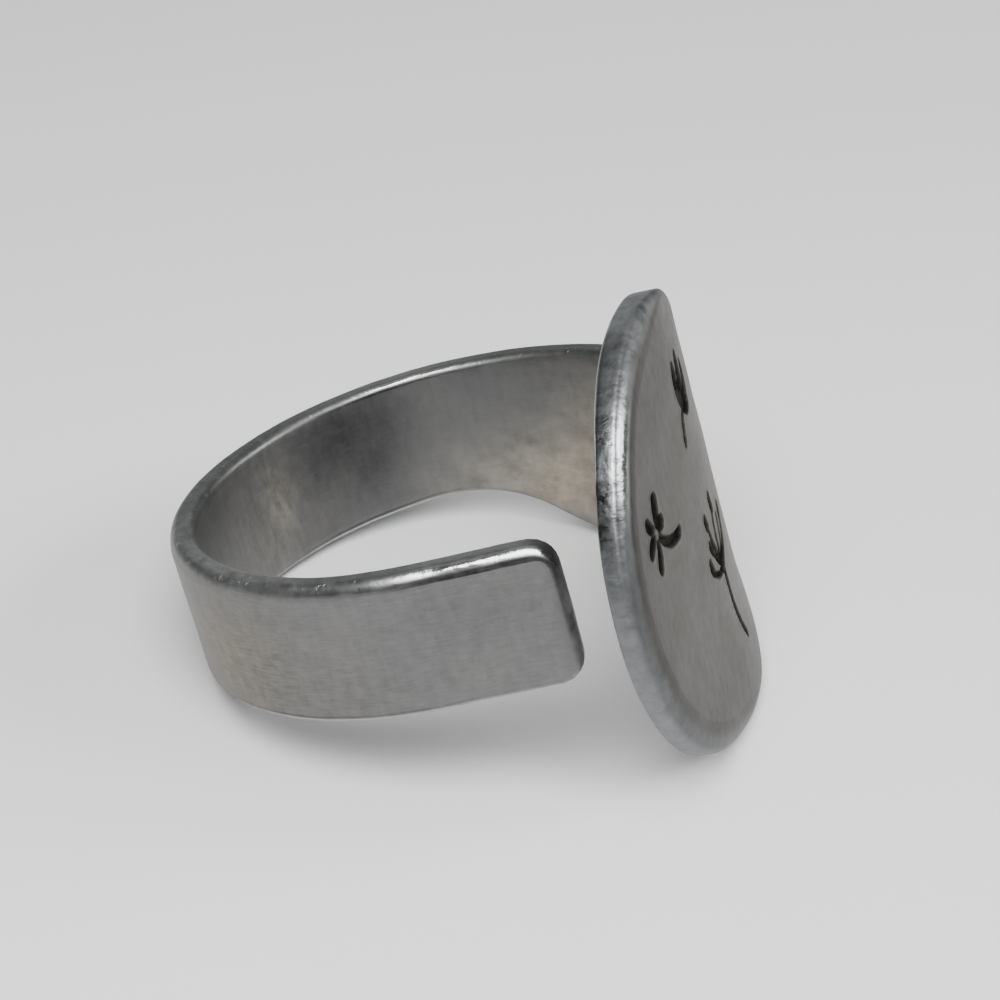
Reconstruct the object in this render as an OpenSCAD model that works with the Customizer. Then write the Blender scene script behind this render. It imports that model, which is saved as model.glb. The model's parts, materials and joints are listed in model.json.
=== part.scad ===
// Adjustable ring bent from one blank of sheet metal: a round disc, a wide neck, and a band that
// runs round the finger to a free end with rounded corners, which stops just short of the disc.
// It lies on its side by itself, on the low rim of the disc and the low edge of the band.
//
// The ring is drawn in its own frame first: +Z along the finger hole, +X out through the disc, and
// +Y from the free end's side to the neck's side, with the disc's centre at the origin. The middle
// of the sheet follows one line of touching arcs, from the disc round to the free end.

/* [Sheet] */
// Thickness of the sheet
sheet_t = 1.05; // [0.9:0.05:1.3]

/* [Disc] */
// Diameter of the disc
disc_d = 15.9; // [14.5:0.1:17]
// Bend radius of the half of the disc on the free end's side
near_bow_r = 110; // [80:5:200]
// Bend radius of the half of the disc on the neck's side
far_bow_r = 18; // [17:0.5:22]

/* [Neck] */
// Bend radius where the neck turns from the disc into the band
neck_bend_r = 5.2; // [4.6:0.1:6]
// Angle of that bend
neck_bend_deg = 31.5; // [30:0.5:35]
// Depth of the neck's low edge under the disc's centre
neck_depth = 5.6; // [5:0.1:6]
// Length over which the low edge sweeps up into the band
sweep_len = 9; // [7:0.5:10]
// Radius in the corners between the disc and the neck
neck_fillet_r = 1.4; // [1:0.1:1.8]

/* [Band] */
// Width of the band
band_w = 5.15; // [4.5:0.05:5.6]
// Bend radius of the slightly wider stretch after the neck
side_bend_r = 9.55; // [9.3:0.05:9.8]
// Angle of that stretch
side_bend_deg = 106; // [102:0.5:108]
// Inside radius of the round back of the hoop, where a finger or a mandrel sits
hoop_r = 8.2; // [8:0.05:8.4]
// Angle of the round back
hoop_deg = 120; // [114:0.5:123]
// Length of the straight stretch that ends the band
tail_len = 4.95; // [4:0.05:5.3]
// Radius of the two corners of the free end
tail_corner_r = 0.6; // [0.4:0.05:1.2]

/* [Rest] */
// Angle to which the ring rolls over on its two points of contact before it balances
roll_deg = -4.55; // [-5:0.05:-4]

/* [Hidden] */
$fn = 96;

disc_r = disc_d / 2;
band_half = band_w / 2;
hoop_mid_r = hoop_r + sheet_t / 2;
degrees_per_radian = 180 / PI;

// Walls are drawn this high, and the solids that cut them reach this far
wall_h = disc_d + 4;
cut = 30;
// Curved walls are drawn as facets of about this angle, and points on the disc's rim lie this far apart
facet_deg = 3;
// Facets in each arc of the neck's low edge, and how far that edge runs up into the band
sweep_steps = 10;
web_overlap = 0.03;
// Spare metal inside the round back, which the bore of the hoop then takes away
bore_stock = 0.05;
// The lean is looked for under this angle, in this many halvings
lean_limit_deg = 45;
lean_halvings = 24;

// The centre of an arc that starts at p with heading h and bends left, and the point where it ends
function arc_centre(p, h, r) = p + r * [-sin(h), cos(h)];
function arc_end(p, h, r, a) = arc_centre(p, h, r) + r * [sin(h + a), -cos(h + a)];

// Points of that arc, moved out from its centre by out. A step is facet_deg, or a little less.
function arc_points(p, h, r, a, out) =
    let (steps = ceil(abs(a) / facet_deg), c = arc_centre(p, h, r))
    [for (i = [0:steps]) c + (r + out) * [sin(h + a * i / steps), -cos(h + a * i / steps)]];

// Headings of the middle line at the start of each stretch, in degrees from +X
disc_heading = 90;
near_bow_deg = (disc_r + sheet_t) / near_bow_r * degrees_per_radian;
far_bow_deg = disc_r / far_bow_r * degrees_per_radian;
neck_heading = disc_heading + far_bow_deg;
side_heading = neck_heading + neck_bend_deg;
hoop_heading = side_heading + side_bend_deg;
tail_heading = hoop_heading + hoop_deg;

// Points of the middle line at the start of each stretch
disc_centre = [0, 0];
disc_near_end = arc_end(disc_centre, disc_heading, near_bow_r, -near_bow_deg);
neck_start = arc_end(disc_centre, disc_heading, far_bow_r, far_bow_deg);
side_start = arc_end(neck_start, neck_heading, neck_bend_r, neck_bend_deg);
hoop_start = arc_end(side_start, side_heading, side_bend_r, side_bend_deg);
hoop_centre = arc_centre(hoop_start, hoop_heading, hoop_mid_r);
tail_start = arc_end(hoop_start, hoop_heading, hoop_mid_r, hoop_deg);

// One face of the sheet, seen along the finger hole: the disc's two halves, and the line from the
// disc's centre to the free end, both moved out by out. The round back has its own distance, for
// the stock inside it.
function plate_line(out) = concat(
    arc_points(disc_near_end, disc_heading - near_bow_deg, near_bow_r, near_bow_deg, out),
    arc_points(disc_centre, disc_heading, far_bow_r, far_bow_deg, out));
function strip_line(out, hoop_out) =
    let (tail_first = tail_start + out * [sin(tail_heading), -cos(tail_heading)])
    concat(
        arc_points(disc_centre, disc_heading, far_bow_r, far_bow_deg, out),
        arc_points(neck_start, neck_heading, neck_bend_r, neck_bend_deg, out),
        arc_points(side_start, side_heading, side_bend_r, side_bend_deg, out),
        arc_points(hoop_start, hoop_heading, hoop_mid_r, hoop_deg, hoop_out),
        [tail_first, tail_first + tail_len * [cos(tail_heading), sin(tail_heading)]]);

function reversed(list) = [for (i = [len(list) - 1:-1:0]) list[i]];

// Points that can be outermost in the ring: the disc's rim on both faces, and the band's two edges
// on its outer face
function face_x(y, out) =
    let (r = y < 0 ? near_bow_r : far_bow_r)
    sqrt((r + out) * (r + out) - y * y) - r;
rim_points = [for (a = [0:facet_deg:360 - facet_deg], out = [-sheet_t / 2, sheet_t / 2])
    let (y = disc_r * cos(a))
    [face_x(y, out), y, disc_r * sin(a)]];
edge_points = [for (p = strip_line(sheet_t / 2, sheet_t / 2), side = [-1, 1]) [p[0], p[1], side * band_half]];

// A point of the ring after the lean about Y and the roll about X
function turned(p, lean) =
    let (z = p[0] * sin(lean) + p[2] * cos(lean))
    [p[0] * cos(lean) - p[2] * sin(lean),
     p[1] * cos(roll_deg) - z * sin(roll_deg),
     p[1] * sin(roll_deg) + z * cos(roll_deg)];
function lowest(points, lean) = min([for (p = points) turned(p, lean)[2]]);

// The lean at which the disc's rim and the band's edge are equally low, by halving the interval
function level_lean(low, high, halvings) =
    let (middle = (low + high) / 2)
    halvings == 0 ? middle
        : lowest(rim_points, middle) < lowest(edge_points, middle) ? level_lean(middle, high, halvings - 1)
        : level_lean(low, middle, halvings - 1);
lean_deg = level_lean(0, lean_limit_deg, lean_halvings);

// The move that puts the middle of the ring's bounding box over the origin and its low side on z = 0
outer_points = [for (p = concat(rim_points, edge_points)) turned(p, lean_deg)];
function coordinates(axis) = [for (p = outer_points) p[axis]];
function box_middle(axis) = (min(coordinates(axis)) + max(coordinates(axis))) / 2;
rest_move = [-box_middle(0), -box_middle(1), -min(coordinates(2))];

// Stretches a flat outline in the Y-Z plane into a solid along X, from x_low to x_high
module along_x(x_low, x_high) {
    translate([x_low, 0, 0])
        rotate([90, 0, 90])
            linear_extrude(x_high - x_low)
                children();
}

// The disc, cut round through its bowed plate
module disc() {
    intersection() {
        translate([0, 0, -wall_h / 2])
            linear_extrude(wall_h)
                polygon(concat(plate_line(sheet_t / 2), reversed(plate_line(-sheet_t / 2))));
        along_x(-cut, cut)
            circle(disc_r);
    }
}

// The sheet from the disc's centre to the free end, as one high wall
module strip_wall() {
    translate([0, 0, -wall_h / 2])
        linear_extrude(wall_h)
            polygon(concat(
                strip_line(sheet_t / 2, sheet_t / 2),
                reversed(strip_line(-sheet_t / 2, -sheet_t / 2 - bore_stock))));
}

// Rounds the two corners of the free end
module tail_corners() {
    translate([tail_start[0], tail_start[1], 0])
        rotate([90, 0, tail_heading])
            translate([tail_len - tail_corner_r, 0, -sheet_t])
                linear_extrude(2 * sheet_t)
                    for (side = [-1, 1])
                        translate([0, side * (band_half - tail_corner_r)])
                            difference() {
                                translate([0, side < 0 ? -band_w : 0])
                                    square(band_w);
                                circle(tail_corner_r);
                            }
}

// Everything between the two edges of the band
module band_slab() {
    translate([-cut, -cut, -band_half])
        cube([2 * cut, 2 * cut, band_w]);
}

// What the neck adds under the band. Its low edge runs level from the disc to the band's side, and
// then sweeps up to the band's low edge along two equal arcs.
module neck_web() {
    high = web_overlap - band_half;
    half_turn = atan((high + neck_depth) / sweep_len);
    sweep_r = sweep_len / 2 / sin(2 * half_turn);
    x0 = side_start[0];
    turns = [for (i = [0:sweep_steps]) 2 * half_turn * i / sweep_steps];
    leaving = [for (a = turns) [x0 - sweep_r * sin(a), sweep_r * (1 - cos(a)) - neck_depth]];
    arriving = [for (a = turns) [x0 - sweep_len + sweep_r * sin(a), high - sweep_r * (1 - cos(a))]];
    translate([0, cut, 0])
        rotate([90, 0, 0])
            linear_extrude(cut)
                polygon(concat(
                    [[sheet_t, 0], [sheet_t, -neck_depth]],
                    leaving,
                    [for (i = [sweep_steps - 1:-1:0]) arriving[i]],
                    [[x0 - sweep_len, 0]]));
}

// Fills the corner between the disc's rim and a neck edge at height z, on the side that up_down gives.
// The round of the corner touches the rim on the line between their two centres.
module neck_corner(z, up_down) {
    centre_z = z + up_down * neck_fillet_r;
    reach = disc_r + neck_fillet_r;
    centre_y = sqrt(reach * reach - centre_z * centre_z);
    along_x(side_start[0], sheet_t)
        difference() {
            polygon([[0, 0], [centre_y, centre_z], [centre_y, 0]]);
            translate([centre_y, centre_z])
                circle(neck_fillet_r);
        }
}

// The neck and the band, with the round back bored to the size of the finger
module strip() {
    difference() {
        intersection() {
            strip_wall();
            union() {
                band_slab();
                neck_web();
                neck_corner(band_half, 1);
                neck_corner(-neck_depth, -1);
            }
        }
        translate([hoop_centre[0], hoop_centre[1], -wall_h])
            cylinder(r = hoop_r, h = 2 * wall_h);
        tail_corners();
    }
}

module ring() {
    color([0.62, 0.62, 0.61])
        translate(rest_move)
            rotate([roll_deg, 0, 0])
                rotate([0, -lean_deg, 0])
                    union() {
                        disc();
                        strip();
                    }
}

ring();
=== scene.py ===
"""An adjustable ring of satin sheet aluminium, lying on its side: a stamped disc, a neck and a band.

The ring is worked out as its flat blank first. A place on the blank is s, the length along the
middle of the strip from the disc's centre, z, the height across it, and w, the height over the
middle of the sheet, all in millimetres. One middle line bends the blank round the finger, and the
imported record's finger seat says how the bent ring lies.
"""
import json
from types import SimpleNamespace

import bpy
import numpy as np
from mathutils import Matrix, Vector


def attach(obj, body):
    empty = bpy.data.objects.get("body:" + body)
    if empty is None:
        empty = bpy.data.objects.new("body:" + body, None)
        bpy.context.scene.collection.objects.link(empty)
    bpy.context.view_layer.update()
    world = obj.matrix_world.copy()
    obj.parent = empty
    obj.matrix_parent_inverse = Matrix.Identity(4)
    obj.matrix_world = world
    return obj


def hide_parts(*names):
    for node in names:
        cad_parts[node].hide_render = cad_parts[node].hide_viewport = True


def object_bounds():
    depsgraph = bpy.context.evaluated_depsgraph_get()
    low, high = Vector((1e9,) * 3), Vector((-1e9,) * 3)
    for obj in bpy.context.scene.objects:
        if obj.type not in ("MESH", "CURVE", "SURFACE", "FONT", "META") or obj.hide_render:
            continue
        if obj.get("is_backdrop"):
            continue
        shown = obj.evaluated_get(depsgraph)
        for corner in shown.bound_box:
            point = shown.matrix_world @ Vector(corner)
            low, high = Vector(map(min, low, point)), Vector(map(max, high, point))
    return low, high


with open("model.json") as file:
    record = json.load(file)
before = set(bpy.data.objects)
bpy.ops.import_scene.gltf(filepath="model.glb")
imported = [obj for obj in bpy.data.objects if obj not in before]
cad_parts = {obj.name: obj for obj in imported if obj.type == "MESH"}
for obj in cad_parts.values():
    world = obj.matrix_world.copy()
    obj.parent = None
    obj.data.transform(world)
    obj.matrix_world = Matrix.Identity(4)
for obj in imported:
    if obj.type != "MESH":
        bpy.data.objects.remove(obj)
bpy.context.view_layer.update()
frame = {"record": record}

# A millimetre in metres. All lengths of the ring are in millimetres, and angles are in degrees
MM = 0.001

# The blank: sheet, disc, band, and the neck with its corners and the sweep of its low edge
SHEET_T = 1.05
DISC_R = 7.95
BAND_HALF = 2.575
NECK_DEPTH = 5.6
NECK_FILLET_R = 1.4
SWEEP_LEN = 9.0
# The round corners of the free end, high and low
TAIL_TOP_R, TAIL_LOW_R = 1.0, 0.85

# The bends of the middle line, from the disc's centre on: radius and length of each stretch
NEAR_BOW_R = 110.0
FAR_BOW_R = 18.0
NECK_BEND_R, NECK_BEND_DEG = 5.2, 31.5
SIDE_BEND_R, SIDE_BEND_DEG = 9.55, 106.0
HOOP_R, HOOP_DEG = 8.2, 120.0
HOOP_MID_R = HOOP_R + SHEET_T / 2
TAIL_LEN = 4.95
# The middle line's step, its first and last step, and how many steps to each side even out its bend
LINE_STEP = 0.01
LINE_FIRST, LINE_LAST = -1200, 5400
LINE_BLUR = 60

# Rounding of the edges: how far it reaches into the face, and how far down the side
NEAR_RIM_EDGE = (1.1, 0.42)
FAR_RIM_EDGE = (0.3, 0.2)
BAND_EDGE = (0.5, 0.4)
LOW_EDGE = (0.26, 0.2)
TAIL_EDGE = (0.34, 0.4)
DISC_BACK_EDGE = (0.15, 0.12)
BAND_BACK_EDGE = (0.28, 0.26)
# Where one rounding changes into the next: along s, down from the middle, and before the free end
NEAR_TO_FAR, DISC_TO_BAND, DISC_TO_BAND_BACK = (-1.5, 3.0), (6.5, 9.5), (6.5, 10.5)
HIGH_TO_LOW = (-1.2, 1.2)
BAND_TO_TAIL = (0.9, 0.1)

# The disc's top edge is thicker than the sheet by this much at the back, rising between these heights
TOP_SWELL, TOP_SWELL_RISE = 0.24, (4.8, 7.7)
# It is also rounder there by this much, again rising between two heights
TOP_BACK_MORE, TOP_BACK_RISE = 0.20, (4.0, 7.5)
# The free end's outer face rolls over: from this far before the end, by this much
TAIL_ROLL, TAIL_ROLL_DROP = 0.6, 0.08
# The disc's face falls away softly to its low near rim: from this far in, by this much
WORN_REACH, WORN_DROP = 1.9, 0.12
# The direction of the worn rim, how closely a place has to lie in it, and where the wear begins by -s
WORN_Y, WORN_Z = -0.75, -0.66
WORN_TOWARDS, WORN_BEGINS = (0.1, 0.95), (-3, -1)
# The disc's low far part is bent out by this much: it grows downwards and along s, and then fades
LIFT = 0.25
LIFT_DOWN, LIFT_ALONG, LIFT_FADE = (3.5, 8), (-6, 1), (6, 9)

# Filing moves the outline in by up to this much, with broad and fine waves: share and length of each
FILED = 0.035
FILED_BROAD, FILED_FINE = (0.5, 2.6), (0.3, 0.9)
# Hammering leaves the faces uneven by this much, in waves of one length outside and another inside
BEATEN, BEATEN_OUTER_WAVE, BEATEN_INNER_WAVE = 0.012, 3.0, 3.5
# The seeds of the random unevenness
OUTER_SEED, INNER_SEED, STAMP_SEED, FILED_SEED = 1, 2, 5, 11

# The stamped marks: depth, width of their steep sides, and the lip of metal pushed up round them
STAMP_DEPTH, STAMP_SIDE, STAMP_LIP = 0.15, 0.09, 0.012
# How far from a mark the lip rises and falls, and how far the mark's dark reaches
LIP_RISE, LIP_FALL, STAMP_DARK = (-0.02, 0.03), (0.04, 0.16), (-0.05, 0.03)
# How uneven the marks' borders are, and in what waves
STAMP_UNEVEN, STAMP_WAVE = 0.018, 0.35
STROKE_PIECES = 14

# Columns and rows of the meshes: stamped face, plain back, band
FINE, PLAIN = 250, 64
BAND_COLUMNS, BAND_ROWS = 130, 20
# Where the rows of a rounded edge lie on its quarter ellipse: outside from the face, inside to it
OUTER_ROWS_DEG = (15, 30, 45, 58, 70, 80, 90)
INNER_ROWS_DEG = (90, 72, 54, 36, 18)
# The rows of the sheet's side, as parts of the way to the last one, this far over the inner rounding
SIDE_ROWS, SIDE_LAST = (1 / 3, 2 / 3, 1), 0.06
# The disc's grid has two corners on the rim, this far above and below its near end
RIM_CORNER_DEG = 40.0
# Points of the arcs that the outline is made of
RIM_POINTS, FILLET_POINTS, SWEEP_POINTS, CORNER_STEPS = 200, 40, 30, 30

# Curved strokes of the three stamped sprigs, in millimetres from the disc's centre, y to the neck's
# side and z up: start y, start z, bend y, bend z, end y, end z, start width, end width, swell halfway
BUD = (
    (1.26, 3.80, 0.90, 4.60, 1.14, 5.20, 0.56, 0.34, 0.22),
    (1.66, 3.66, 1.70, 4.60, 1.94, 5.30, 0.60, 0.34, 0.24),
    (2.02, 3.56, 2.62, 4.06, 2.50, 4.74, 0.54, 0.34, 0.20),
    (1.30, 3.84, 1.62, 3.34, 2.20, 3.50, 0.50, 0.50, 0.14),
    (1.26, 3.74, 0.72, 3.44, 0.44, 2.68, 0.32, 0.34, 0.00),
)
BLOSSOM = (
    (-4.62, 2.22, -4.42, 2.46, -4.30, 2.86, 0.36, 0.62, 0.14),
    (-4.98, 2.18, -5.24, 2.26, -5.42, 2.56, 0.24, 0.44, 0.10),
    (-5.06, 1.86, -5.36, 1.90, -5.66, 1.68, 0.26, 0.50, 0.12),
    (-4.88, 1.62, -4.94, 1.24, -5.16, 0.88, 0.30, 0.52, 0.12),
    (-4.50, 1.98, -4.30, 2.10, -4.08, 2.04, 0.30, 0.50, 0.10),
    (-4.60, 1.70, -3.84, 0.92, -2.62, 0.90, 0.28, 0.42, 0.06),
)
SPRIG = (
    (1.96, -5.54, 1.40, -4.60, 1.34, -2.50, 0.28, 0.38, 0.04),
    (1.14, -2.46, 0.36, -2.54, -0.12, -1.98, 0.30, 0.24, 0.00),
    (-0.08, -2.00, -0.28, -1.84, -0.24, -1.60, 0.38, 0.36, 0.06),
    (1.16, -2.26, 0.66, -2.02, 0.38, -1.38, 0.28, 0.22, 0.00),
    (0.42, -1.46, 0.28, -1.34, 0.28, -1.14, 0.38, 0.34, 0.06),
    (1.22, -2.14, 0.60, -1.50, 0.50, -0.48, 0.30, 0.24, 0.00),
    (0.50, -0.56, 0.38, -0.42, 0.42, -0.24, 0.38, 0.34, 0.06),
    (1.32, -2.14, 1.26, -1.20, 1.74, -0.36, 0.28, 0.24, 0.00),
    (1.78, -0.48, 1.64, -0.22, 1.70, 0.02, 0.40, 0.36, 0.08),
    (1.42, -2.22, 2.02, -1.80, 2.26, -0.98, 0.30, 0.22, 0.00),
    (1.42, -2.36, 2.40, -2.12, 2.82, -1.18, 0.38, 0.28, 0.06),
    (2.72, -1.26, 2.94, -1.14, 2.96, -0.92, 0.40, 0.36, 0.08),
    (1.10, -2.42, 1.36, -2.60, 1.62, -2.28, 0.44, 0.44, 0.08),
)

# Stains, and some rows of painted light and shade: middle s, middle z, reach along s, reach along z, how
# much lighter, and how much warmer
INNER_STAINS_AND_LIGHT = (
    # Painted warm reflection, low on the inner face near the disc
    (15.2, -3.1, 3.6, 2.0, 0.85, 0.90),
    (12.5, -0.6, 2.5, 2.4, 0.34, 0.60),
    (18.5, -1.5, 2.6, 1.2, 0.20, 0.20),
    # Painted shade, high on the far wall
    (23.0, 1.4, 2.8, 2.0, -0.42, 0.00),
    (22.5, -0.5, 1.0, 0.8, -0.16, 0.00),
    (27.0, 0.3, 0.9, 1.7, 0.44, 0.35),
    (28.5, -0.8, 2.6, 2.0, 0.18, 0.30),
)
OUTER_STAINS_AND_SHADE = (
    (38.5, -0.6, 3.0, 2.4, 0.04, 0.90),
    (44.0, -1.2, 2.4, 1.6, -0.04, 0.10),
    (48.5, 0.6, 2.6, 1.4, -0.06, 0.00),
    # Painted shade where the free end's outer face rolls over
    (52.2, -0.3, 0.7, 2.6, -0.22, 0.00),
    (0.0, 0.0, 8.0, 9.0, 0.00, 0.85),
    (3.5, -4.5, 2.6, 2.4, 0.08, 0.00),
    (-1.0, 5.5, 3.0, 1.6, -0.04, 0.00),
)
# Round the edges every row is painted light and shade: lighter and darker patches standing for
# highlights and reflections
EDGE_PAINTED_LIGHT = (
    (-7.0, -3.6, 2.4, 3.4, 0.16, 0.00),
    (0.5, -7.6, 3.6, 2.2, -0.04, 0.00),
    (-7.0, 3.7, 2.0, 1.1, -0.62, 0.00),
    (-0.2, 7.9, 2.2, 2.0, 1.20, 0.00),
    (39.0, 2.9, 7.0, 0.5, 1.40, 0.10),
    (51.8, -0.5, 0.5, 2.6, 2.00, 0.00),
    (44.4, 2.25, 1.5, 0.25, -0.55, 0.00),
    (42.0, -2.95, 8.0, 0.42, 2.00, 0.00),
    (25.0, -2.95, 5.0, 0.45, 1.40, 0.00),
)
# Where the edges are polished by wear and painted with highlights: middle s, middle z, reach along s,
# reach along z, how much
SHINE = (
    (-6.2, 5.2, 3.0, 1.9, 1.30),
    (49.8, 2.5, 2.9, 0.7, 2.20),
    (20.5, 2.5, 3.0, 0.7, 0.90),
    (42.0, -2.6, 7.0, 0.5, 0.60),
    (23.0, -2.6, 3.6, 0.6, 1.00),
)
# The columns of these tables, and how far round an edge the face's stains fade into the edge's painted
# light and shade
LIGHTER, WARMER, SHINE_AMOUNT = 4, 5, 4
STAINS_MEET = (0.0, 0.45)

# The finish's zones: face and side by the share of the edge, the disc by s, and the inner face by w
FACE_ENDS, SIDE_BEGINS = (0.02, 0.5), (0.55, 0.98)
DISC_ENDS = (6.5, 9.0)
INNER_ENDS = (-0.48, -0.36)
# A worn edge has a polished line, lightened as a painted highlight, and a border beside it darkened as
# painted shade, by the share of the edge. On the disc the border is fainter and the line begins sooner,
# and on the side of the sheet the line is weaker
SHADE_BEGINS, SHADE_ENDS, SHADE_ON_DISC = (0.0, 0.02), (0.12, 0.3), 0.15
SHINE_BEGINS, SHINE_SOONER, SHINE_WEAKER = (0.16, 0.5), (0.04, 0.15), 0.6
# Where a highlight is painted on the rim, it is painted as a dark strip to the back and a light strip to
# the front, by w
RIM_LIGHTENS = (-0.25, 0.06)
# Light patches, stains and painted light alike, are smeared. On the inner face they have run in drips
# away from the disc, by s
SMEARS_END = (22.0, 25.0)

# Colours: bare metal, filed edges, warm stains and the painted warm reflection, and the dark of the
# stamped marks
BARE = (0.170, 0.1715, 0.170, 1)
COOL = (0.160, 0.168, 0.174, 1)
WARM = (0.198, 0.177, 0.147, 1)
BLACKENED = (0.010, 0.010, 0.010, 1)

# Long patterns on the blank: turn, length along s, z and w, detail, roughness
LONG_PATTERNS = {
    "brushed": (0, (0.55, 0.075, 0.4), 3, 0.6),
    "scuffs": (28, (1.8, 0.12, 0.4), 2, 0.6),
    "smears": (12, (1.5, 0.8, 0.6), 3, 0.55),
    "drips": (0, (0.3, 0.9, 0.4), 3, 0.6),
}
# Patterns round the edges: spots for each millimetre of run and of w, a shift, detail, roughness
EDGE_PATTERNS = {
    "filing": (1.8, 1.0, 0.0, 4, 0.6),
    "dents": (0.9, 1.2, 5.0, 2, 0.5),
    "nicks": (3.4, 1.5, 9.0, 3, 0.6),
}
# Round patterns: spots for each millimetre, detail, roughness
ROUND_PATTERNS = {
    "mottled": (2.4, 4, 0.6),
    "tarnish": (0.42, 4, 0.55),
    "chips": (4.6, 2, 0.5),
}
# Where in its pattern each of these rises from 0 to 1, and where on the edge the nicks begin
CHIP, NICK, NICKS_BEGIN = (0.60, 0.74), (0.52, 0.68), (0.3, 0.9)
FILE_MARK, STREAK = (0.4, 0.6), (0.3, 0.7)
# How strong the brushing, the scuffs and the filing are, on the inner face, the band or the disc
BRUSHED, BRUSHED_LESS_INSIDE, SCUFFED = 2.0, 0.6, 0.45
FILED_ON_BAND, FILED_MORE_ON_DISC = 0.3, 0.7

# How much each thing lightens or darkens the metal, as a part of its own colour, painted highlights and
# shade among them
TONE = SimpleNamespace(
    mottled=0.36, mottled_less=0.2, mottled_edge=0.3, mottled_warm=0.5,
    drips=0.34, drips_less=0.12, drips_warm=0.2, tarnish=0.25, shaded_border=0.6,
    lines=0.24, lines_warm=0.36, outside=0.07, disc=0.46, disc_face=0.13,
    rim_shade=0.12, back_of_rim=0.45, filing=0.12, filing_shine=0.6,
    polish_and_highlight=1.8, chips=0.4, nicks=0.8, darker_patch=1.1, lighter_patch=0.5, streaks=0.8, least=0.2)
# How far the tarnish shifts a place to the warm colour, and an edge to the cool one
TARNISH_WARMS, EDGE_COOLS, EDGE_COOLS_DISC = 0.4, 0.2, 0.6
# The metal's roughness, and how much each thing changes it
GLOSS = SimpleNamespace(bare=0.46, mottled=0.2, tarnish=0.15, lines=0.1, polish_and_highlight=0.3, stamped=0.3)
# The heights of the finest unevenness, in millimetres
BUMP = SimpleNamespace(
    lines=0.003, mottled=0.010, mottled_edge=0.015, filing=0.03, dents=0.1, chips=0.02, nicks=0.008)

# The camera: the photo's angle, from a fit of the ring's edges. Its lens and film are in millimetres
CAMERA_AIM = Vector((1.19, -0.41, 6.70)) * MM
CAMERA_DISTANCE = 114.17 * MM
CAMERA_AZIMUTH_DEG, CAMERA_DOWN_DEG, CAMERA_ROLL_DEG = -13.91, 31.96, -0.40
CAMERA_LENS, CAMERA_FILM = 117.6, 36.0
CAMERA_NEAREST = 5 * MM

# The lights, in metres and watts: name, direction from the ring, distance, width and height, power
SOFTBOXES = (
    ("main_light", (0.092, -0.522, 0.848), 0.15, (0.127, 0.127), 0.42),
    ("right_window", (0.835, 0.07, 0.545), 0.30, (0.20, 0.09), 0.46),
    ("right_panel", (0.90, 0.27, 0.33), 0.30, (0.20, 0.10), 0.28),
    ("overhead_panel", (-0.2, 0.45, 0.87), 0.30, (0.25, 0.25), 0.06),
    ("back_panel", (-0.41, 0.88, 0.24), 0.30, (0.14, 0.14), 0.016),
)
SURROUND_COLOUR, SURROUND_STRENGTH = (0.96, 0.98, 1.0, 1), 0.15
FLOOR_HALF = 1
FLOOR_PAPER = {"Base Color": (0.86, 0.86, 0.86, 1), "Roughness": 0.9, "Specular IOR Level": 0.1}


def smoothstep(low, high, value):
    """0 under low, 1 over high, and a smooth rise between them."""
    t = np.clip((value - low) / (high - low), 0, 1)
    return t * t * (3 - 2 * t)


def middle_line():
    """The middle line, seen along the finger hole.

    Its bend at each length is one over the radius of its stretch, evened out by a bell of LINE_BLUR
    steps to each side. The heading is the sum of the bend, and the place is the sum of the heading's
    cosine and sine.
    """
    s = np.arange(LINE_FIRST, LINE_LAST) * LINE_STEP
    stretches = ((NECK_BEND_R, NECK_BEND_DEG), (SIDE_BEND_R, SIDE_BEND_DEG), (HOOP_MID_R, HOOP_DEG))
    ends = np.cumsum([DISC_R, *(radius * np.radians(turn) for radius, turn in stretches)])
    radii = NEAR_BOW_R, FAR_BOW_R, NECK_BEND_R, SIDE_BEND_R, HOOP_MID_R
    bends = np.array([*(1 / radius for radius in radii), 0.0])
    bend = bends[np.searchsorted([0.0, *ends], s)]
    window = np.hanning(2 * LINE_BLUR + 1)
    bend = np.convolve(np.pad(bend, LINE_BLUR, mode="edge"), window / window.sum(), mode="valid")
    zero = np.searchsorted(s, 0.0)

    def total(values):
        """The sum of values along the line, counted from the disc's centre."""
        sums = np.cumsum(values)
        return (sums - sums[zero]) * LINE_STEP

    heading = np.pi / 2 + total(bend)
    return {"s": s, "heading": heading, "x": total(np.cos(heading)), "y": total(np.sin(heading)),
            "side_start": ends[1], "end": ends[3] + TAIL_LEN}


LINE = middle_line()


def line(name, s):
    """The middle line's heading, x or y at lengths s."""
    return np.interp(s, LINE["s"], LINE[name])


def s_at_y(y):
    """The length at which the middle line reaches y, from before the disc to past the neck's bend."""
    before_disc, past_neck = -10, LINE["side_start"] + 1
    rising = (LINE["s"] > before_disc) & (LINE["s"] < past_neck)
    return np.interp(y, LINE["y"][rising], LINE["s"][rising])


def s_at_x(x):
    """The length at which the middle line reaches x, from before the neck's bend to the ring's back."""
    before_bend, at_back = 6, 28
    falling = (LINE["s"] > before_bend) & (LINE["s"] < at_back)
    return np.interp(-x, -LINE["x"][falling], LINE["s"][falling])


def bent(s, z, w):
    """Points of the blank, bent round the finger: the middle line's point, w outwards along its normal.

    The disc's low far part is lifted out: a smooth rise down the disc, times one away from its near
    rim, fading into the neck.
    """
    lifted = LIFT * smoothstep(*LIFT_DOWN, -z) * smoothstep(*LIFT_ALONG, s)
    w = w + lifted * (1 - smoothstep(*LIFT_FADE, s))
    h = line("heading", s)
    return np.stack([line("x", s) + w * np.sin(h), line("y", s) - w * np.cos(h), z + 0 * s], axis=-1)


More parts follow.
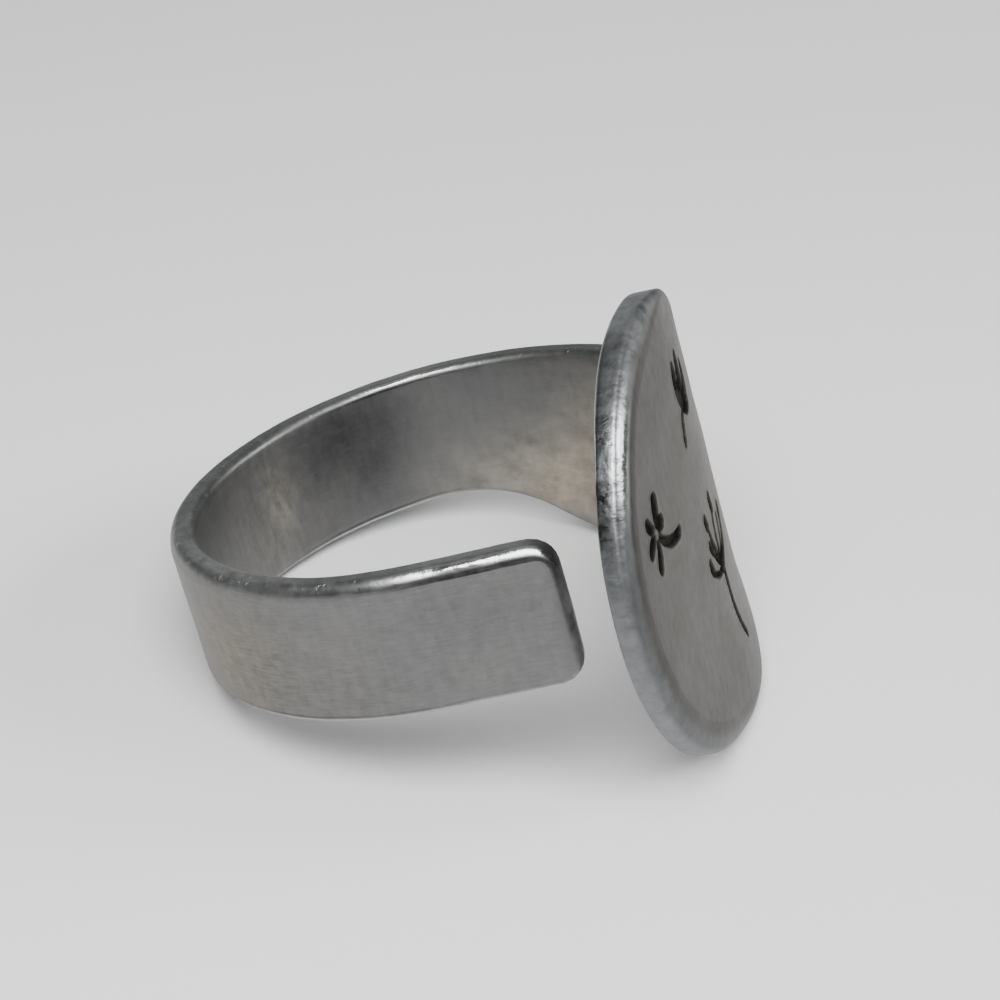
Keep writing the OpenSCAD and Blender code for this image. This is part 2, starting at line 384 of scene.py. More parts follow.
def rest_place():
    """The turn and the move that lay the ring down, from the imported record's finger seat.

    The seat's axis is the ring's own Z after a lean about Y and a roll about X. The seat's point is
    the middle of the round back, which lies its radius in from two places on the middle line, each
    a little inside an end of the round back.
    """
    seat = frame["record"]["mounts"][0]
    axis = seat["axis"]
    lean = Matrix.Rotation(np.arcsin(axis[0]), 3, "Y")
    turn = Matrix.Rotation(np.arctan2(-axis[1], axis[2]), 3, "X") @ lean
    inside = 1.5
    side_end = np.radians(SIDE_BEND_DEG) * SIDE_BEND_R + LINE["side_start"]
    s = np.array([side_end + inside, LINE["end"] - TAIL_LEN - inside])
    h = line("heading", s)
    to_centre = np.stack([-np.sin(h), np.cos(h)], axis=-1)
    centres = np.stack([line("x", s), line("y", s)], axis=-1) + HOOP_MID_R * to_centre
    move = Vector(seat["pos_m"]) / MM - turn @ Vector((*centres.mean(axis=0), 0.0))
    return np.array(turn), np.array(move)


TURN, MOVE = rest_place()


def placed(points):
    """Points of the bent ring in the row's frame, in metres."""
    return (points @ TURN.T + MOVE) * MM


def arc(centre, radius, start_deg, end_deg, count):
    """Points on an arc about centre, from one angle to the other."""
    a = np.radians(np.linspace(start_deg, end_deg, count))
    return np.asarray(centre) + radius * np.stack([np.cos(a), np.sin(a)], axis=-1)


def outline_run(points):
    """The length along a line of points, from its first point on: the sum of its steps."""
    return np.append(0, np.cumsum(np.linalg.norm(np.diff(points, axis=0), axis=1)))


def even(points, count):
    """count points at even lengths along an open line of points, both ends included."""
    run = outline_run(points)
    at = np.linspace(0, run[-1], count)
    return np.stack([np.interp(at, run, points[:, k]) for k in range(2)], axis=-1)


def fillet(height, side):
    """The concave corner between the disc's rim and a neck edge at that height, as y and z.

    Its centre is a fillet radius beyond the edge, and a disc radius and a fillet radius from the
    disc's centre. It touches the rim on the line between the two centres.
    """
    cz = height + side * NECK_FILLET_R
    cy = np.sqrt((DISC_R + NECK_FILLET_R) ** 2 - cz ** 2)
    towards = np.degrees(np.arctan2(cz, cy))
    return arc((cy, cz), NECK_FILLET_R, towards + 180, 180 + side * 90, FILLET_POINTS), towards


def disc_outline():
    """The disc's rim with the neck's two corners, as its top, its left and its bottom.

    All are arcs in y and z, carried to s along the middle line.
    """
    upper, upper_deg = fillet(BAND_HALF, 1)
    lower, lower_deg = fillet(-NECK_DEPTH, -1)
    left_from, left_to = 180 - RIM_CORNER_DEG, 180 + RIM_CORNER_DEG
    spans = (upper_deg, left_from), (left_from, left_to), (left_to, 360 + lower_deg)
    top, left, bottom = (arc((0, 0), DISC_R, *span, RIM_POINTS) for span in spans)
    top = np.concatenate([upper[::-1], top[1:]])
    bottom = np.concatenate([bottom, lower[1:]])
    return [np.stack([s_at_y(part[:, 0]), part[:, 1]], axis=-1) for part in (top, left, bottom)]


def neck_sweep():
    """The sweep of the neck's low edge up to the band's low edge, as s and z.

    It is two equal arcs, seen from the side: one leaves the neck's level and one arrives at the
    band's. A turn moves a point by the radius times its sine along x, and by the radius times one
    less its cosine across.
    """
    start_x = line("x", LINE["side_start"])
    half_turn = np.arctan((NECK_DEPTH - BAND_HALF) / SWEEP_LEN)
    sweep_r = SWEEP_LEN / 2 / np.sin(2 * half_turn)
    turns = np.linspace(0, 2 * half_turn, SWEEP_POINTS)
    along, across = sweep_r * np.sin(turns), sweep_r * (1 - np.cos(turns))
    leaving = np.stack([start_x - along, across - NECK_DEPTH], axis=-1)
    arriving = np.stack([start_x - SWEEP_LEN + along, -BAND_HALF - across], axis=-1)
    sweep = np.concatenate([leaving, arriving[::-1][1:]])
    sweep[:, 0] = s_at_x(sweep[:, 0])
    return sweep


def blank_outline(disc_count):
    """The blank's outline, counter-clockwise with the outer face up, as sections of s and z.

    The disc's three sections have disc_count steps each. The band begins a little past the disc's
    last points. The free end has two round corners, and each is shared halfway by the end and the
    edge beside it.
    """
    disc_top, disc_left, disc_bottom = disc_outline()
    past_disc = [0.3, 0]
    half = CORNER_STEPS // 2
    low_corner, high_corner = (
        arc((LINE["end"] - r, side * (BAND_HALF - r)), r, start_deg, start_deg + 90, CORNER_STEPS + 1)
        for r, side, start_deg in ((TAIL_LOW_R, -1, -90), (TAIL_TOP_R, 1, 0)))
    band_bottom = np.concatenate([[disc_bottom[-1] + past_disc], neck_sweep(), low_corner[:half + 1]])
    band_end = np.concatenate([low_corner[half:], high_corner[:half + 1]])
    band_top = np.concatenate([high_corner[half:], [disc_top[0] + past_disc]])
    sections = band_bottom, band_end, band_top, disc_top, disc_left, disc_bottom
    steps = BAND_COLUMNS, BAND_ROWS, BAND_COLUMNS, disc_count, disc_count, disc_count
    return [even(section, count + 1) for section, count in zip(sections, steps)]


def closed(sections):
    """The sections as one loop, each shared point once."""
    band_bottom, band_end, band_top, disc_top, disc_left, disc_bottom = sections
    return np.concatenate([band_bottom, band_end[1:], band_top[1:],
                           disc_top, disc_left[1:], disc_bottom[1:]])


def inward(loop):
    """The unit normals of a loop, into the metal, evened out over their neighbours.

    Each is the direction from the last point to the next one, turned left.
    """
    ahead = np.roll(loop, -1, axis=0) - np.roll(loop, 1, axis=0)
    normal = np.stack([-ahead[:, 1], ahead[:, 0]], axis=-1)
    normal /= np.linalg.norm(normal, axis=1, keepdims=True)
    for _ in range(2):
        normal = (np.roll(normal, 1, axis=0) + 2 * normal + np.roll(normal, -1, axis=0)) / 4
    return normal / np.linalg.norm(normal, axis=1, keepdims=True)


def edge_reach(loop):
    """How far the outer rounding reaches into the face, and how far down.

    Both change from the disc's near rim to its far rim, from there to the band's high edge and its
    low edge, and from these to the free end.
    """
    s, z = loop.T
    band = smoothstep(*DISC_TO_BAND, s)
    tail = smoothstep(*(LINE["end"] - before for before in BAND_TO_TAIL), s)
    sizes = np.array(NEAR_RIM_EDGE)[:, None] + 0 * s
    changes = ((smoothstep(*NEAR_TO_FAR, s), FAR_RIM_EDGE), (band, BAND_EDGE),
               (band * smoothstep(*HIGH_TO_LOW, -z), LOW_EDGE), (tail, TAIL_EDGE))
    for share, edge in changes:
        sizes += (np.array(edge)[:, None] - sizes) * share
    return sizes


def back_reach(loop):
    """How far the inner rounding reaches into the face, and how far down.

    Both go evenly from the disc's small rounding to the band's, and are more at the disc's top.
    """
    s, z = loop.T
    more = TOP_BACK_MORE * smoothstep(*TOP_BACK_RISE, z)
    edges = zip(DISC_BACK_EDGE, BAND_BACK_EDGE)
    return [np.interp(s, DISC_TO_BAND_BACK, sizes) + more for sizes in edges]


def ripple(points, wave, seed):
    """A gentle random unevenness, mostly between -1 and 1: twice the mean of ten sine waves.

    Each has its own direction, its own start, and a length of 0.6 to 1.5 times the given one.
    """
    waves = 10
    random = np.random.default_rng(seed)
    ways = random.normal(size=(waves, points.shape[-1]))
    turns = 2 * np.pi / wave / random.uniform(0.6, 1.5, (waves, 1))
    ways *= turns / np.linalg.norm(ways, axis=1, keepdims=True)
    return np.sin(points @ ways.T + random.uniform(0, 2 * np.pi, waves)).mean(axis=-1) * 2


def ruled(first, last, count):
    """count points at even lengths on the straight line between two points."""
    return first + (last - first) * np.linspace(0, 1, count)[:, None]


def coons(bottom, top, left, right):
    """A face inside four boundary lines: the sum of its two rulings, less the plane of its corners."""
    u = np.linspace(0, 1, len(bottom))[:, None, None]
    v = np.linspace(0, 1, len(left))[None, :, None]
    across = (1 - v) * bottom[:, None] + v * top[:, None]
    along = (1 - u) * left[None] + u * right[None]
    corners = ((1 - u) * (1 - v) * bottom[0] + u * (1 - v) * bottom[-1]
               + (1 - u) * v * top[0] + u * v * top[-1])
    return across + along - corners


class Shell:
    """Collects points and triangles of one closed surface, with what the finish reads at each point."""

    def __init__(self):
        self.rows, self.faces, self.size = [], [], 0

    def points(self, s, z, w, edge=0.0, run=0.0):
        """Adds points and gives their numbers, in the shape of s.

        edge goes from 0 on a face to 1 on the sheet's side, and run is the length along the outline.
        """
        rows = np.broadcast_arrays(s, z, w, edge, run)
        self.rows.append(np.stack(rows, axis=-1).reshape(-1, len(rows)))
        numbers = np.arange(self.size, self.size + rows[0].size).reshape(rows[0].shape)
        self.size += rows[0].size
        return numbers

    def grid(self, numbers, outer=True):
        """Two triangles in each cell of a grid of points, facing out from the outer or inner face."""
        a, b, c, d = numbers[:-1, :-1], numbers[1:, :-1], numbers[1:, 1:], numbers[:-1, 1:]
        cells = np.concatenate([np.stack([a, b, c], axis=-1).reshape(-1, 3),
                                np.stack([a, c, d], axis=-1).reshape(-1, 3)])
        self.faces.append(cells if outer else cells[:, ::-1])

    def seam(self, first, second, outer=True):
        """Triangles between two lines with different numbers of points.

        Each line steps on at the middles of its own even spaces. The steps of both are put in order,
        and each step makes one triangle with the point that the other line has reached.
        """
        n, m = len(first) - 1, len(second) - 1
        steps = np.concatenate([(np.arange(n) + 0.5) / n, (np.arange(m) + 0.5) / m])
        order = np.argsort(steps, kind="stable")
        on_first = order < n
        i = np.concatenate([[0], np.cumsum(on_first)[:-1]])
        j = np.concatenate([[0], np.cumsum(~on_first)[:-1]])
        third = np.where(on_first, first[np.minimum(i + 1, n)], second[np.minimum(j + 1, m)])
        cells = np.stack([first[i], second[j], third], axis=-1)
        self.faces.append(cells if outer else cells[:, ::-1])

    def wall(self, loops):
        """Closed strips between loops with the same number of points."""
        self.grid(np.stack([np.append(loop, loop[0]) for loop in loops]))


def face_grids(shell, sections, inset, height, outer):
    """The two grids of one face, inside the inset outline, and the numbers of its border's points.

    The disc and the band each fill their own sections of the outline, closed by a straight line at
    the neck's mouth, and a seam joins the two lines. The border runs as the outline does.
    """
    counts = [len(section) for section in sections]
    steps = counts[0] - 1, counts[1] - 1, counts[2], counts[3] - 1, counts[4] - 1
    starts = np.cumsum([0, *steps])
    band_bottom, band_end, band_top, disc_top, disc_left, disc_bottom = (
        inset[np.arange(start, start + count) % len(inset)] for start, count in zip(starts, counts))
    disc_mouth = ruled(disc_bottom[-1], disc_top[0], len(disc_left))
    band_mouth = ruled(band_bottom[0], band_top[-1], len(band_end))
    numbers = []
    for part in (coons(disc_bottom, disc_top[::-1], disc_left[::-1], disc_mouth),
                 coons(band_bottom, band_top[::-1], band_mouth, band_end)):
        s, z = part[..., 0], part[..., 1]
        numbers.append(shell.points(s, z, height(s, z)))
        shell.grid(numbers[-1], outer)
    disc, band = numbers
    shell.seam(disc[-1], band[0], outer)
    return np.concatenate([band[:, 0], band[-1, 1:], band[-2::-1, -1],
                           disc[::-1, -1], disc[0, -2::-1], disc[1:, 0]])


def rounding_rows(shell, loop, reach, drop, height, angles):
    """Rows of a rounded edge: a quarter of an ellipse from the face over to the side of the sheet."""
    normal, rows = inward(loop), []
    for angle in np.radians(angles):
        at = loop + normal * (reach * (1 - np.sin(angle)))[:, None]
        over = height(at[:, 0], at[:, 1])
        fallen = over - np.sign(over) * drop * (1 - np.cos(angle))
        rows.append(shell.points(at[:, 0], at[:, 1], fallen, np.sin(angle) ** 2, outline_run(loop)))
    return rows


def stroke_distance(points, stroke):
    """How far points lie outside a curved stroke, less than 0 inside it.

    The stroke's middle is a curve through its start and end that bends towards the third point, as
    STROKE_PIECES straight pieces. Its width goes evenly from end to end, with a swell halfway.
    """
    start, bend, end = np.reshape(stroke[:6], (3, 2))
    start_width, end_width, swell = stroke[6:]
    t = np.linspace(0, 1, STROKE_PIECES + 1)
    shares = (1 - t) ** 2, 2 * t * (1 - t), t ** 2
    middle = sum(share[:, None] * point for share, point in zip(shares, (start, bend, end)))
    half = (start_width + (end_width - start_width) * t + swell * 4 * t * (1 - t)) / 2
    first, step = middle[:-1], np.diff(middle, axis=0)
    from_first = points[:, None] - first
    along = np.clip((from_first * step).sum(axis=-1) / (step ** 2).sum(axis=-1), 0, 1)
    away = np.linalg.norm(from_first - along[..., None] * step, axis=-1)
    return (away - half[:-1] - along * np.diff(half)).min(axis=1)


def stamp_distance(s, z):
    """How far points of the blank lie outside the stamped sprigs, less than 0 inside them.

    Points off the disc, or across the finger hole with an x under front_x, count as far away. A
    fine ripple leaves the marks' borders a little uneven.
    """
    far_away, front_x = 1.0, -2
    at = np.stack([line("y", s), z], axis=-1)
    points = at.reshape(-1, 2)
    near = (np.hypot(*points.T) < DISC_R) & (line("x", np.ravel(s)) > front_x)
    nearest = np.full(len(points), far_away)
    for stroke in (*BUD, *BLOSSOM, *SPRIG):
        nearest[near] = np.minimum(nearest[near], stroke_distance(points[near], stroke))
    return nearest.reshape(s.shape) + STAMP_UNEVEN * ripple(at, STAMP_WAVE, STAMP_SEED)


def worn(s, z):
    """How far the disc's face falls away to its low near rim.

    It is the square of the way from WORN_REACH inside the rim out to it, times a smooth rise with
    how closely the place lies in the worn rim's direction, times one along the disc.
    """
    y = line("y", s)
    radius = np.hypot(y, z)
    way = np.clip((radius - DISC_R + WORN_REACH) / WORN_REACH, 0, 1) ** 2
    towards = (WORN_Y * y + WORN_Z * z) / np.maximum(radius, 1)
    return WORN_DROP * way * (smoothstep(*WORN_TOWARDS, towards) * smoothstep(*WORN_BEGINS, -s))


def spots(s, z, table, column):
    """The sum of a table's spots, each fading as a bell from the number in that column."""
    total = np.zeros(s.shape)
    for row in table:
        total += row[column] * np.exp(-((s - row[0]) / row[2]) ** 2 - ((z - row[1]) / row[3]) ** 2)
    return total


def outer_height(s, z):
    """The outer face over the middle of the sheet: beaten a little uneven, worn, rolled and stamped."""
    away = stamp_distance(s, z)
    stamped = STAMP_DEPTH * (1 - smoothstep(-STAMP_SIDE, 0, away))
    lip = STAMP_LIP * smoothstep(*LIP_RISE, away) * (1 - smoothstep(*LIP_FALL, away))
    uneven = BEATEN * ripple(np.stack([s, z], axis=-1), BEATEN_OUTER_WAVE, OUTER_SEED)
    rolled = TAIL_ROLL_DROP * np.clip((s - LINE["end"] + TAIL_ROLL) / TAIL_ROLL, 0, 1) ** 2
    return SHEET_T / 2 - BEATEN + uneven - worn(s, z) - rolled - stamped + lip


def inner_height(s, z):
    """The inner face under the middle of the sheet: a little uneven, and lower at the disc's top."""
    swell = TOP_SWELL * smoothstep(*TOP_SWELL_RISE, z)
    uneven = BEATEN * ripple(np.stack([s, z], axis=-1), BEATEN_INNER_WAVE, INNER_SEED)
    return BEATEN - SHEET_T / 2 - swell + uneven


def filed(loop):
    """The outline after filing: moved in by a little that changes along it, in broad and fine waves."""
    at = placed(bent(loop[:, 0], loop[:, 1], 0.0)) / MM
    broad, fine = (share * ripple(at, wave, FILED_SEED + k)
                   for k, (share, wave) in enumerate((FILED_BROAD, FILED_FINE)))
    return loop + inward(loop) * (FILED * (0.5 + 0.5 * np.clip(broad + fine, -1, 1)))[:, None]


def ring_shell():
    """The whole ring: a stamped outer face, a plain inner face, and the rounded side between them."""
    shell = Shell()
    fine, plain = blank_outline(FINE), blank_outline(PLAIN)
    loop, back_loop = filed(closed(fine)), filed(closed(plain))

    reach, drop = edge_reach(loop)
    outer_edge = face_grids(shell, fine, loop + inward(loop) * reach[:, None], outer_height, True)
    down = rounding_rows(shell, loop, reach, drop, outer_height, OUTER_ROWS_DEG)
    top = outer_height(loop[:, 0], loop[:, 1]) - drop
    low = back_reach(loop)[1] + SIDE_LAST - SHEET_T / 2
    run = outline_run(loop)
    side = [shell.points(loop[:, 0], loop[:, 1], top + (low - top) * t, 1.0, run) for t in SIDE_ROWS]
    shell.wall([outer_edge, *down, *side])

    reach, drop = back_reach(back_loop)
    up = rounding_rows(shell, back_loop, reach, drop, inner_height, INNER_ROWS_DEG)
    inset = back_loop + inward(back_loop) * reach[:, None]
    shell.wall([*up, face_grids(shell, plain, inset, inner_height, False)])

    # The side's fine row meets the plain row: point by point on the band, and by seams on the disc
    band = 2 * BAND_COLUMNS + BAND_ROWS + 1
    fine_row, plain_row = np.append(side[-1], side[-1][0]), np.append(up[0], up[0][0])
    shell.grid(np.stack([fine_row[:band + 1], plain_row[:band + 1]]))
    for k in range(3):
        parts = (row[band + k * count:band + (k + 1) * count + 1]
                 for row, count in ((fine_row, FINE), (plain_row, PLAIN)))
        shell.seam(*parts)
    shell.grid(np.stack([fine_row[-2:], plain_row[-2:]]))
    return shell


def surface_values(s, z, w, edge, run):
    """What the finish reads at each point, as numbers.

    edge and run are the shell's. stamped goes up to 1 inside a stamped mark. Two values say how much
    lighter and how much warmer the metal is: on the faces by their own tables of stains with some
    painted shade and painted warm reflection, and round the edge by the edge's table of painted
    highlights, reflections and shade. shine says how much wear polishes an edge there, and how much
    highlight is painted on it.
    """
    on_outer_face = (w > 0) & (edge == 0)
    stamped = np.where(on_outer_face, 1 - smoothstep(*STAMP_DARK, stamp_distance(s, z)), 0)
    share = smoothstep(*STAINS_MEET, edge)
    stained, warmed = (
        share * spots(s, z, EDGE_PAINTED_LIGHT, column) + (1 - share) *
        np.where(w < 0, spots(s, z, INNER_STAINS_AND_LIGHT, column), spots(s, z, OUTER_STAINS_AND_SHADE, column))
        for column in (LIGHTER, WARMER))
    shine = np.clip(spots(s, z, SHINE, SHINE_AMOUNT), 0, 1)
    return {"edge": edge, "run": run, "stamped": stamped,
            "stained": stained, "warmed": warmed, "shine": shine}


def mesh_object(name, shell):
    """A mesh object of the shell's points and triangles.

    Each point also carries its place on the blank and its surface values.
    """
    rows = np.concatenate(shell.rows)
    faces = np.concatenate(shell.faces).astype(np.int32)
    mesh = bpy.data.meshes.new(name)
    mesh.vertices.add(len(rows))
    mesh.vertices.foreach_set("co", placed(bent(*rows[:, :3].T)).ravel())
    mesh.loops.add(faces.size)
    mesh.loops.foreach_set("vertex_index", faces.ravel())
    mesh.polygons.add(len(faces))
    mesh.polygons.foreach_set("loop_start", np.arange(0, faces.size, 3, dtype=np.int32))
    mesh.update(calc_edges=True)
    mesh.validate()
    mesh.shade_smooth()
    blank = mesh.attributes.new("blank", "FLOAT_VECTOR", "POINT")
    blank.data.foreach_set("vector", rows[:, :3].ravel())
    for label, values in surface_values(*rows.T).items():
        mesh.attributes.new(label, "FLOAT", "POINT").data.foreach_set("value", values)
    piece = bpy.data.objects.new(name, mesh)
    bpy.context.scene.collection.objects.link(piece)
    return piece


class Value:
    """A number that changes over the surface. Each operator adds a Math node."""

    def __init__(self, finish, socket):
        self.finish, self.socket = finish, socket

    def maths(self, operation, first, second):
        """The result of a Math node with that operation on two numbers."""
        return self.finish.node("ShaderNodeMath", {"operation": operation}, {0: first, 1: second})

    def above(self, other):
        """The larger of the two."""
        return self.maths("MAXIMUM", self, other)

    def __add__(self, other):
        return self.maths("ADD", self, other)

    def __radd__(self, other):
        return self.maths("ADD", other, self)

    def __sub__(self, other):
        return self.maths("SUBTRACT", self, other)

    def __rsub__(self, other):
        return self.maths("SUBTRACT", other, self)

    def __mul__(self, other):
        return self.maths("MULTIPLY", self, other)

    def __rmul__(self, other):
        return self.maths("MULTIPLY", other, self)


class Finish:
    """The nodes of one material."""

    def __init__(self, name):
        self.material = bpy.data.materials.new(name)
        self.material.use_nodes = True
        self.tree = self.material.node_tree
        self.tree.nodes.clear()

    def node(self, kind, settings=None, sockets=None, output=0):
        """Adds a node and gives one of its outputs, if it has any.

        Its settings are set first, and then the value or the link of each socket.
        """
        made = self.tree.nodes.new(kind)
        for key, setting in (settings or {}).items():
            setattr(made, key, setting)
        for key, value in (sockets or {}).items():
            if isinstance(value, Value):
                self.tree.links.new(value.socket, made.inputs[key])
            else:
                made.inputs[key].default_value = value
        return Value(self, made.outputs[output]) if len(made.outputs) else None

    def attribute(self, name, output="Fac"):
        """A vertex value of the mesh: its output Fac is a number, and Vector a place."""
        return self.node("ShaderNodeAttribute", {"attribute_name": name}, output=output)

    def part(self, place, axis):
        """One coordinate of a place: X, Y or Z."""
        return self.node("ShaderNodeSeparateXYZ", None, {0: place}, axis)

    def place(self, x, y, z):
        """A place from three numbers."""
        return self.node("ShaderNodeCombineXYZ", None, {0: x, 1: y, 2: z})

    def stretched(self, place, turn_deg, lengths):
        """A place turned about its third axis, with each axis divided by a length."""
        sockets = {"Vector": place, "Rotation": (0, 0, np.radians(turn_deg)), "Scale": lengths}
        return self.node("ShaderNodeMapping", {"vector_type": "TEXTURE"}, sockets)

    def noise(self, place, scale, detail, roughness):
        """Soft noise round a half, its spots about one over scale across."""
        sockets = {"Vector": place, "Scale": scale, "Detail": detail, "Roughness": roughness}
        return self.node("ShaderNodeTexNoise", None, sockets)

    def rise(self, low, high, value):
        """0 under low, 1 over high, and a smooth rise between them."""
        sockets = {"Value": value, "From Min": low, "From Max": high}
        return self.node("ShaderNodeMapRange", {"interpolation_type": "SMOOTHSTEP"}, sockets)

    def blend(self, share, first, second):
        """The first colour, and the second where the share is 1."""
        return self.node("ShaderNodeMix", {"data_type": "RGBA"}, {0: share, 6: first, 7: second}, 2)

    def shade(self, colour, value):
        """A colour made darker or lighter by a number."""
        return self.node("ShaderNodeVectorMath", {"operation": "SCALE"}, {0: colour, "Scale": value})

    def surface(self, sockets):
        """Ends the nodes with a shader that has those sockets, and gives the material."""
        shader = self.node("ShaderNodeBsdfPrincipled", None, sockets)
        self.node("ShaderNodeOutputMaterial", None, {"Surface": shader})
        return self.material


def zones(metal):
    """Where a point lies: the mesh's own values, and each part of the ring as 1 inside and 0 outside.

    The polished line along a worn edge is lightened as a painted highlight, and the border beside it is
    darkened as painted shade.
    """
    at = SimpleNamespace(blank=metal.attribute("blank", "Vector"))
    for name in ("edge", "run", "stamped", "stained", "warmed", "shine"):
        setattr(at, name, metal.attribute(name))
    at.s, at.w = metal.part(at.blank, "X"), metal.part(at.blank, "Z")
    at.face = 1 - metal.rise(*FACE_ENDS, at.edge)
    at.side = metal.rise(*SIDE_BEGINS, at.edge)
    at.disc = 1 - metal.rise(*DISC_ENDS, at.s)
    at.band = 1 - at.disc
    at.inner = 1 - metal.rise(*INNER_ENDS, at.w)
    begins = (place - at.disc * sooner for place, sooner in zip(SHINE_BEGINS, SHINE_SOONER))
    at.polish_and_highlight = at.shine * metal.rise(*begins, at.edge) * (1 - at.side * SHINE_WEAKER)
    border = metal.rise(*SHADE_BEGINS, at.edge) * (1 - metal.rise(*SHADE_ENDS, at.edge))
    at.shaded_border = border * (at.disc * SHADE_ON_DISC + at.shine * at.band)
    at.warm_band = at.warmed * at.band
    return at


def patterns(metal, at):
    """The random patterns of the metal, and what is made of them.

    Noise goes round a half. lined is brushing along the band and scuffs on the disc, round 0. filed
    says how clearly filing shows. chips and nicks are 1 inside each small spot.
    """
    on = SimpleNamespace()
    for name, (turn, lengths, detail, roughness) in LONG_PATTERNS.items():
        setattr(on, name, metal.noise(metal.stretched(at.blank, turn, lengths), 1, detail, roughness))
    for name, (along, across, shift, detail, roughness) in EDGE_PATTERNS.items():
        place = metal.place(at.run * along, at.w * across, shift)
        setattr(on, name, metal.noise(place, 1, detail, roughness))
    for name, (scale, detail, roughness) in ROUND_PATTERNS.items():
        setattr(on, name, metal.noise(at.blank, scale, detail, roughness))
    brushed = (on.brushed - 0.5) * at.band * (1 - at.inner * BRUSHED_LESS_INSIDE) * BRUSHED
    on.lined = brushed + (on.scuffs - 0.5) * at.disc * SCUFFED
    on.filed = at.side * (FILED_ON_BAND + FILED_MORE_ON_DISC * at.disc)
    on.chips = metal.rise(*CHIP, on.chips) * at.edge * at.band * (1 - at.shine)
    on.nicks = metal.rise(*NICK, on.nicks) * metal.rise(*NICKS_BEGIN, at.edge) * at.disc * at.shine
    return on


def tone_of(metal, at, on):
    """How light the metal is, as a part of its own colour: a sum of what each thing adds or takes,
    painted highlights and shade among them.
    """
    quiet = at.disc + at.inner
    mottling = TONE.mottled - quiet * TONE.mottled_less + at.edge * TONE.mottled_edge
    mottling = mottling + at.warm_band * TONE.mottled_warm
    running = TONE.drips - quiet * TONE.drips_less + at.warm_band * TONE.drips_warm
    cloudy = (on.mottled - 0.5) * mottling + (on.drips - 0.5) * running
    cloudy = cloudy + (on.tarnish - 0.5) * TONE.tarnish - at.shaded_border * TONE.shaded_border

    # The faces have brushed lines, and the outer face is painted darker, most of all on the disc:
    # painted shade for its dimmer reflection
    lines = on.lined * at.face * (TONE.lines + at.warm_band * TONE.lines_warm)
    outer_dark = at.disc * (TONE.disc + at.face * TONE.disc_face) + TONE.outside
    tone = 1 + cloudy + lines - outer_dark * (1 - at.side) * (1 - at.inner)

    # Painted shade darkens the disc's rim where no highlight is painted on it. Where one is, the rim has
    # painted light and dark strips, its filing marks show more, and a worn edge's polished line is
    # lightened as a painted highlight
    rim = at.side * at.disc
    strips = metal.rise(*RIM_LIGHTENS, at.w) - TONE.back_of_rim
    tone = tone - rim * (1 - at.shine) * TONE.rim_shade + rim * at.shine * strips
    filing = (metal.rise(*FILE_MARK, on.filing) - 0.5) * on.filed
    tone = tone + filing * (TONE.filing + at.shine * TONE.filing_shine) + at.polish_and_highlight * TONE.polish_and_highlight
    tone = tone + on.chips * TONE.chips - on.nicks * TONE.nicks

    # Darker patches, stains and painted shade alike, are even, and lighter ones, stains and painted
    # highlights and reflections, are streaked and mottled
    light = at.stained.above(0.0)
    streaks = on.smears + (on.drips - on.smears) * metal.rise(*SMEARS_END, at.s) * at.inner
    streaked = TONE.lighter_patch + metal.rise(*STREAK, streaks) * TONE.streaks
    tone = tone + (at.stained - light) * TONE.darker_patch + light * streaked + light * (on.mottled - 0.5)
    return tone.above(TONE.least)


def satin_aluminium():
    """Satin aluminium, brushed on the band, scuffed on the disc, filed at the edges, dark in the marks.

    Its colour changes with the stains, with painted highlights, reflections and shade, and with its
    tone, and its gloss and its fine bumps with the wear.
    """
    metal = Finish("satin_aluminium")
    at = zones(metal)
    on = patterns(metal, at)
    colour = metal.blend(at.warmed + (on.tarnish - 0.5) * TARNISH_WARMS, BARE, WARM)
    colour = metal.blend(at.edge * (EDGE_COOLS + at.disc * EDGE_COOLS_DISC), colour, COOL)
    colour = metal.shade(colour, tone_of(metal, at, on))
    colour = metal.blend(at.stamped, colour, BLACKENED)

    gloss = GLOSS.bare + (on.mottled - 0.5) * GLOSS.mottled + (on.tarnish - 0.5) * GLOSS.tarnish
    gloss = gloss + on.lined * GLOSS.lines * at.face
    gloss = gloss - at.polish_and_highlight * GLOSS.polish_and_highlight + at.stamped * GLOSS.stamped

    height = on.lined * at.face * BUMP.lines
    height = height + (on.mottled - 0.5) * (BUMP.mottled + at.edge * BUMP.mottled_edge)
    height = height + (on.filing - 0.5) * on.filed * BUMP.filing
    height = height + (on.dents - 0.5) * at.polish_and_highlight * BUMP.dents
    height = height - on.chips * BUMP.chips - on.nicks * BUMP.nicks
    bump = metal.node("ShaderNodeBump", None, {"Height": height, "Distance": MM})
    return metal.surface({"Base Color": colour, "Metallic": 1.0, "Roughness": gloss, "Normal": bump})


ring = mesh_object("ring_metal", ring_shell())
ring.data.materials.append(satin_aluminium())
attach(ring, "root")
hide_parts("ring")


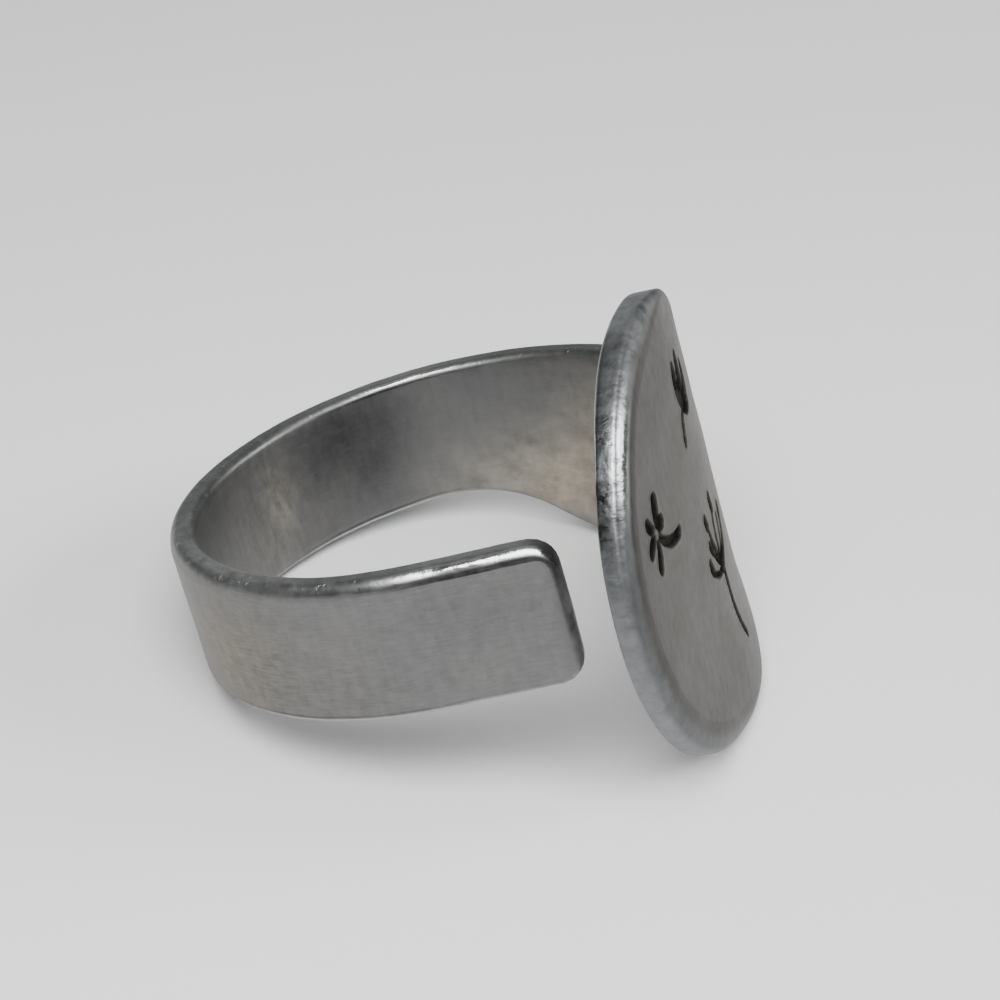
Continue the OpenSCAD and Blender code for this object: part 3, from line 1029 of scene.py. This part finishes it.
def add_camera():
    """A camera that looks at the aim from its distance: level along +Y, then turned down and round."""
    turn = (Matrix.Rotation(np.radians(-CAMERA_AZIMUTH_DEG), 4, "Z")
            @ Matrix.Rotation(np.radians(90 - CAMERA_DOWN_DEG), 4, "X")
            @ Matrix.Rotation(np.radians(CAMERA_ROLL_DEG), 4, "Z"))
    back = Matrix.Translation((0, 0, CAMERA_DISTANCE))
    data = bpy.data.cameras.new("camera")
    data.lens = CAMERA_LENS
    data.sensor_width = CAMERA_FILM
    data.clip_start = CAMERA_NEAREST
    camera = bpy.data.objects.new("camera", data)
    camera.matrix_world = Matrix.Translation(CAMERA_AIM) @ turn @ back
    bpy.context.scene.collection.objects.link(camera)
    bpy.context.scene.camera = camera


def add_surround():
    """An even, dim, slightly cool surrounding."""
    world = bpy.data.worlds.new("studio")
    world.use_nodes = True
    background = world.node_tree.nodes["Background"]
    background.inputs["Color"].default_value = SURROUND_COLOUR
    background.inputs["Strength"].default_value = SURROUND_STRENGTH
    bpy.context.scene.world = world


def add_floor(height):
    """A wide pale floor at the ring's lowest point."""
    corners = [(x * FLOOR_HALF, y * FLOOR_HALF, height) for x, y in ((-1, -1), (1, -1), (1, 1), (-1, 1))]
    mesh = bpy.data.meshes.new("floor")
    mesh.from_pydata(corners, [], [(0, 1, 2, 3)])
    mesh.materials.append(Finish("floor_paper").surface(FLOOR_PAPER))
    floor = bpy.data.objects.new("floor", mesh)
    bpy.context.scene.collection.objects.link(floor)
    floor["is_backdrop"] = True


def add_softbox(name, towards, distance, size, power):
    """A soft oval light of that width, height and power, that far from the ring, facing it."""
    lamp = bpy.data.lights.new(name, "AREA")
    lamp.shape = "ELLIPSE"
    lamp.energy = power
    lamp.size, lamp.size_y = size
    away = Vector(towards).normalized()
    facing = away.to_track_quat("Z", "Y").to_matrix().to_4x4()
    box = bpy.data.objects.new(name, lamp)
    box.matrix_world = Matrix.Translation(CAMERA_AIM + away * distance) @ facing
    bpy.context.scene.collection.objects.link(box)


add_camera()
add_surround()
add_floor(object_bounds()[0].z)
for softbox in SOFTBOXES:
    add_softbox(*softbox)
